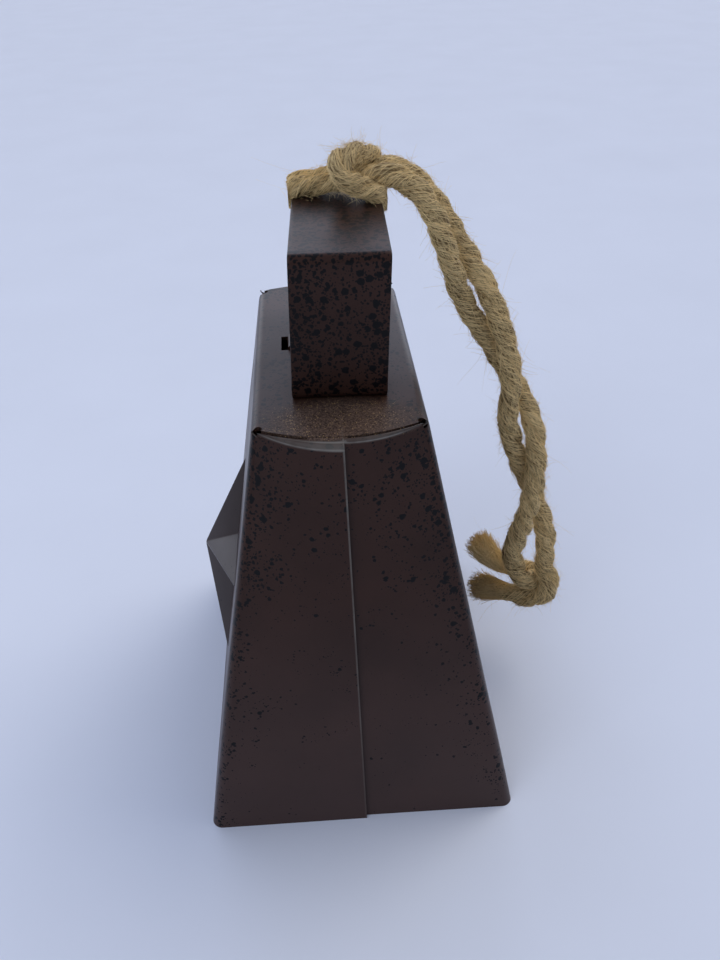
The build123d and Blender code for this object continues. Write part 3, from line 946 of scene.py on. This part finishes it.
def speckled_enamel(name, finishes, base, amount, ior=1.24, rough=0.27, bell=None):
    """Baked brown enamel spattered with blue-black: a hard semi-gloss skin that ripples a little."""
    material, node, place = new_material(name)
    patch = node("TexNoise", {"Vector": place, "Scale": 95, "Detail": 3, "Roughness": 0.6})["Fac"]
    level = node("Math", {0: patch, 1: 0.9, 2: amount - 0.45}, operation="MULTIPLY_ADD")[0]
    tone = node("TexNoise", {"Vector": place, "Scale": 40, "Detail": 4})["Fac"]
    mottled = share_of(node, (tone, 0.3, 0.7))
    skin = node("Mix", {"Factor": mottled, "A": linear(base), "B": darker(base, 0.66)},
                data_type="RGBA")["Result"]
    if bell:
        spot = bell_spot(node, place, bell)
        level = more_at_corners(node, bell, spot, level)
        # painted reflection: lighter towards the mouth, where the lower walls mirror the bright floor
        painted_floor_reflection = node("MapRange", {"Value": spot["up"], "From Max": 0.65, "To Min": 0.34, "To Max": 0.0})[0]
        skin = node("Mix", {"Factor": painted_floor_reflection, "A": skin, "B": linear("#5d4e4c")}, data_type="RGBA")["Result"]
    dark = spatter(node, place, level)
    skin = node("Mix", {"Factor": dark, "A": skin, "B": linear(finishes.speckle)}, data_type="RGBA")["Result"]
    ripple = node("TexNoise", {"Vector": place, "Scale": 300, "Detail": 2})["Fac"]
    height = node("Math", {0: dark, 1: 0.25, 2: ripple}, operation="MULTIPLY_ADD")[0]
    matt = node("MapRange", {"Value": tone, "From Min": 0.3, "From Max": 0.7,
                             "To Min": rough, "To Max": rough + 0.1})[0]
    if bell:
        # painted highlight: the lips, their creases and the lap's edge take the pale grey
        lip, painted_highlight = lip_and_painted_highlight(node, bell, spot, patch)
        skin = node("Mix", {"Factor": painted_highlight, "A": skin, "B": linear(finishes.worn)},
                    data_type="RGBA")["Result"]
        skin, near, lumps = blown_dust(node, place, spot, lip, finishes, skin)
        height = node("Math", {0: lumps, 1: 2.0, 2: height}, operation="MULTIPLY_ADD")[0]
        matt = node("Math", {0: near, 1: 0.22, 2: matt}, operation="MULTIPLY_ADD")[0]
    bump = node("Bump", {"Height": height, "Strength": 0.3, "Distance": 0.06 * MM})[0]
    close_material(node, {"Base Color": skin, "Roughness": matt, "Normal": bump, "IOR": ior})
    return material


def drawn_steel(name, value, rough):
    """Bare wire or rod: dull metal with fine scratches and darker scale."""
    material, node, place = new_material(name)
    scale = node("TexNoise", {"Vector": place, "Scale": 380, "Detail": 5})["Fac"]
    tone = node("Mix", {"Factor": scale, "A": linear(value), "B": darker(value, 0.35)},
                data_type="RGBA")["Result"]
    worn = node("MapRange", {"Value": scale, "To Min": rough - 0.12, "To Max": rough + 0.2})[0]
    bump = node("Bump", {"Height": scale, "Strength": 0.4, "Distance": 0.1 * MM})[0]
    close_material(node, {"Base Color": tone, "Roughness": worn, "Normal": bump, "Metallic": 1.0})
    return material


def jute_fibre(name, finishes, streak, low, high):
    """Dry twisted jute: fine pale fibres with dark gaps of painted shade, quite matt."""
    material, node, place = new_material(name)
    along = node("UVMap", uv_map="along")[0]
    stretched = node("Mapping", {"Vector": along, "Scale": (0.22, 14, 1)})[0]
    lines = node("TexNoise", {"Vector": stretched, "Scale": 1.6, "Detail": 5, "Roughness": 0.7})["Fac"]
    patch = node("TexNoise", {"Vector": place, "Scale": 160, "Detail": 3})["Fac"]
    mixed = node("Math", {0: patch, 1: streak, 2: lines}, operation="MULTIPLY_ADD")[0]
    share = share_of(node, (mixed, low + streak / 2, high + streak / 2))
    tone = node("Mix", {"Factor": share, "A": linear(finishes.jute), "B": linear(finishes.jute_dark)},
                data_type="RGBA")["Result"]
    bump = node("Bump", {"Height": lines, "Strength": 0.9, "Distance": 0.25 * MM})[0]
    close_material(node, {"Base Color": tone, "Normal": bump, "Roughness": 0.78, "IOR": 1.45})
    return material


def plain_floor(name, value):
    """Matt pale board."""
    material, node, place = new_material(name)
    cloud = node("TexNoise", {"Vector": place, "Scale": 14, "Detail": 4})["Fac"]
    tone = node("Mix", {"Factor": cloud, "A": linear(value), "B": darker(value, 0.93)},
                data_type="RGBA")["Result"]
    close_material(node, {"Base Color": tone, "Roughness": 0.75})
    return material


def studio_world():
    """A pale room whose bright side lies behind the bell, dimmer overhead."""
    world = bpy.data.worlds.new("studio")
    world.use_nodes = True
    world.node_tree.nodes.clear()
    node = partial(add_node, world.node_tree)
    way = node("TexCoord")["Generated"]
    axes = node("SeparateXYZ", {"Vector": way})
    overhead = node("MapRange", {"Value": axes["Z"], "From Min": 0.15, "From Max": 0.8})[0]
    tone = node("Mix", {"Factor": overhead, "A": linear("#dfe4f3"), "B": linear("#b0b9d4")},
                data_type="RGBA")["Result"]
    side = node("MapRange", {"Value": axes["X"], "From Min": -0.7, "From Max": 0.7,
                             "To Min": 1.06, "To Max": 0.42})[0]
    low = node("MapRange", {"Value": axes["Z"], "From Min": 0.55, "From Max": 0.8,
                            "To Min": 1.0, "To Max": 0.0})[0]
    window = node("MapRange", {"Value": axes["X"], "From Min": -0.4, "From Max": -0.8,
                               "To Min": 0.0, "To Max": 1.25})[0]
    strength = node("Math", {0: low, 1: window, 2: side}, operation="MULTIPLY_ADD")[0]
    sky = node("Background", {"Color": tone, "Strength": strength})[0]
    node("OutputWorld", {"Surface": sky})
    return world


# ---- operators -----------------------------------------------------------------------------
class COWBELL_OT_stage(Operator):
    """Floor, light and camera"""
    bl_idname = "cowbell.stage"
    bl_label = "Stage"

    def execute(self, context):
        scene = context.scene
        finishes = scene.cowbell_finishes
        deselect()
        bpy.ops.mesh.primitive_plane_add(size=9)
        floor = context.object
        floor.name = "floor"
        paint(floor, plain_floor("pale_board", finishes.floor))
        scene.view_settings.view_transform = "Standard"
        scene.world = studio_world()
        for name, kind, place, power, tint in (
                ("key", "SUN", (-0.28, 0.5, 0.85), 0.9, "#fff6ea"),
                ("fill", "AREA", (0.7, -0.6, 0.9), 3.6, "#eef2ff")):
            light = bpy.data.lights.new(name, kind)
            if kind == "SUN":
                light.angle = radians(38)
            else:
                light.size = 0.8
            light.energy = power
            light.color = linear(tint)[:3]
            holder = bpy.data.objects.new(name, light)
            holder.location = place
            aim = Vector((0, 0, 0.08)) - Vector(place)
            holder.rotation_euler = aim.to_track_quat("-Z", "Y").to_euler()
            scene.collection.objects.link(holder)
        camera = bpy.data.objects.new("camera", bpy.data.cameras.new("camera"))
        camera.data.lens = CAMERA_LENS
        camera.data.clip_start = 0.01
        yaw, pitch, roll = (radians(turn) for turn in CAMERA_TURN)
        ahead = Vector((-cos(pitch) * cos(yaw), -cos(pitch) * sin(yaw), -sin(pitch)))
        level = ahead.cross(Vector((0, 0, 1))).normalized()
        above = level.cross(ahead)
        right = cos(roll) * level + sin(roll) * above
        up = cos(roll) * above - sin(roll) * level
        turned = Matrix((right, up, -ahead)).transposed().to_4x4()
        camera.matrix_world = Matrix.Translation(CAMERA_PLACE) @ turned
        scene.collection.objects.link(camera)
        scene.camera = camera
        return {"FINISHED"}


class COWBELL_OT_bell(Operator):
    """Folded bell body"""
    bl_idname = "cowbell.bell"
    bl_label = "Bell"

    def execute(self, context):
        scene = context.scene
        bell = scene.cowbell_bell
        finishes = scene.cowbell_finishes
        enamel = speckled_enamel("speckled_enamel", finishes, finishes.enamel, 0.14, bell=bell)
        piece = make_bell(bell)
        finish_piece(piece, "folded_bell", enamel, BELL_BODY, ["bell_shell"], angle=17)
        return {"FINISHED"}


class COWBELL_OT_handle(Operator):
    """Strap handle"""
    bl_idname = "cowbell.handle"
    bl_label = "Handle"

    def execute(self, context):
        scene = context.scene
        finishes = scene.cowbell_finishes
        enamel = speckled_enamel("handle_enamel", finishes, finishes.enamel, 0.72, rough=0.36)
        piece = make_handle(scene.cowbell_handle, scene.cowbell_bell)
        finish_piece(piece, "bent_handle", enamel, BELL_BODY, ["strap_handle"])
        return {"FINISHED"}


class COWBELL_OT_star(Operator):
    """Barn star"""
    bl_idname = "cowbell.star"
    bl_label = "Star"

    def execute(self, context):
        scene = context.scene
        finishes = scene.cowbell_finishes
        enamel = speckled_enamel("star_enamel", finishes, finishes.star, 0.12, ior=1.33)
        piece = make_star(scene.cowbell_star, scene.cowbell_bell)
        finish_piece(piece, "stamped_star", enamel, BELL_BODY, ["barn_star"], angle=25)
        return {"FINISHED"}


class COWBELL_OT_clapper(Operator):
    """Finishes of the hanger, link, rod and ball"""
    bl_idname = "cowbell.clapper"
    bl_label = "Clapper"

    def execute(self, context):
        finishes = context.scene.cowbell_finishes
        nodes = frame["nodes"]
        paint(nodes["clapper_hanger"], speckled_enamel("hanger_enamel", finishes, finishes.enamel, 0.40))
        paint(nodes["clapper_link"], drawn_steel("drawn_wire", finishes.steel, 0.38))
        paint(nodes["clapper_rod"], drawn_steel("drawn_rod", finishes.steel, 0.45))
        paint(nodes["clapper_ball"], drawn_steel("oiled_iron", finishes.iron, 0.5))
        return {"FINISHED"}


class COWBELL_OT_rope(Operator):
    """Jute rope: its two halves, their loose hairs and their frayed ends"""
    bl_idname = "cowbell.rope"
    bl_label = "Rope"

    def execute(self, context):
        scene = context.scene
        sizes = scene.cowbell_rope
        finishes = scene.cowbell_finishes
        # painted shade: the strands' bodies take a darker copy of the jute and the fibres and hairs a lighter
        # one, so the gaps between fibres read as shade
        strand = jute_fibre("twisted_jute_painted_shade", finishes, 0.25, 0.33, 0.60)
        hair = jute_fibre("jute_hair", finishes, 0.1, 0.50, 0.86)
        halves = (
            ("front", HITCH_FRONT + LIMB_FRONT + KNOT_FRONT,
             ["rope_hitch", "rope_limb_front", "rope_tail_upper"]),
            ("rear", HITCH_REAR + LIMB_REAR + KNOT_REAR,
             ["rope_knot", "rope_limb_rear", "rope_tail_lower"]))
        for seed, (side, route, nodes) in enumerate(halves):
            rng = np.random.default_rng(40 + seed)
            line, run = rope_line(side, route, sizes.step)
            laid = LaidRope(line, sizes, 10.0 * seed)
            rope = laid.mesh(f"rope_{side}")
            extras = [laid.fibres(f"rope_fibres_{side}", rng), laid.hairs(f"rope_hairs_{side}", rng),
                      laid.frayed_end(f"rope_end_{side}", rng)]
            finish_piece(rope, rope.name, strand, BELL_BODY, nodes, angle=80)
            for piece in extras:
                finish_piece(piece, piece.name, hair, BELL_BODY, angle=80)
        return {"FINISHED"}


class COWBELL_PT_panel(Panel):
    """Sidebar list of the cowbell's makers"""
    bl_idname = "COWBELL_PT_panel"
    bl_label = "Cowbell"
    bl_space_type = "VIEW_3D"
    bl_region_type = "UI"
    bl_category = "Cowbell"

    def draw(self, context):
        for maker in MAKERS:
            self.layout.operator(maker.bl_idname)


GROUPS = {"cowbell_bell": BellSizes, "cowbell_handle": HandleSizes, "cowbell_star": StarSizes,
          "cowbell_rope": RopeSizes, "cowbell_finishes": Finishes}
MAKERS = (COWBELL_OT_stage, COWBELL_OT_rope, COWBELL_OT_bell, COWBELL_OT_handle, COWBELL_OT_star,
          COWBELL_OT_clapper)


def register():
    for kind in (*GROUPS.values(), *MAKERS, COWBELL_PT_panel):
        bpy.utils.register_class(kind)
    for name, kind in GROUPS.items():
        setattr(bpy.types.Scene, name, PointerProperty(type=kind))


def unregister():
    for name in GROUPS:
        delattr(bpy.types.Scene, name)
    for kind in reversed((*GROUPS.values(), *MAKERS, COWBELL_PT_panel)):
        bpy.utils.unregister_class(kind)


def main():
    register()
    bpy.ops.cowbell.stage()
    bpy.ops.cowbell.rope()
    bpy.ops.cowbell.bell()
    bpy.ops.cowbell.handle()
    bpy.ops.cowbell.star()
    bpy.ops.cowbell.clapper()
    deselect()


if __name__ == "__main__":
    main()
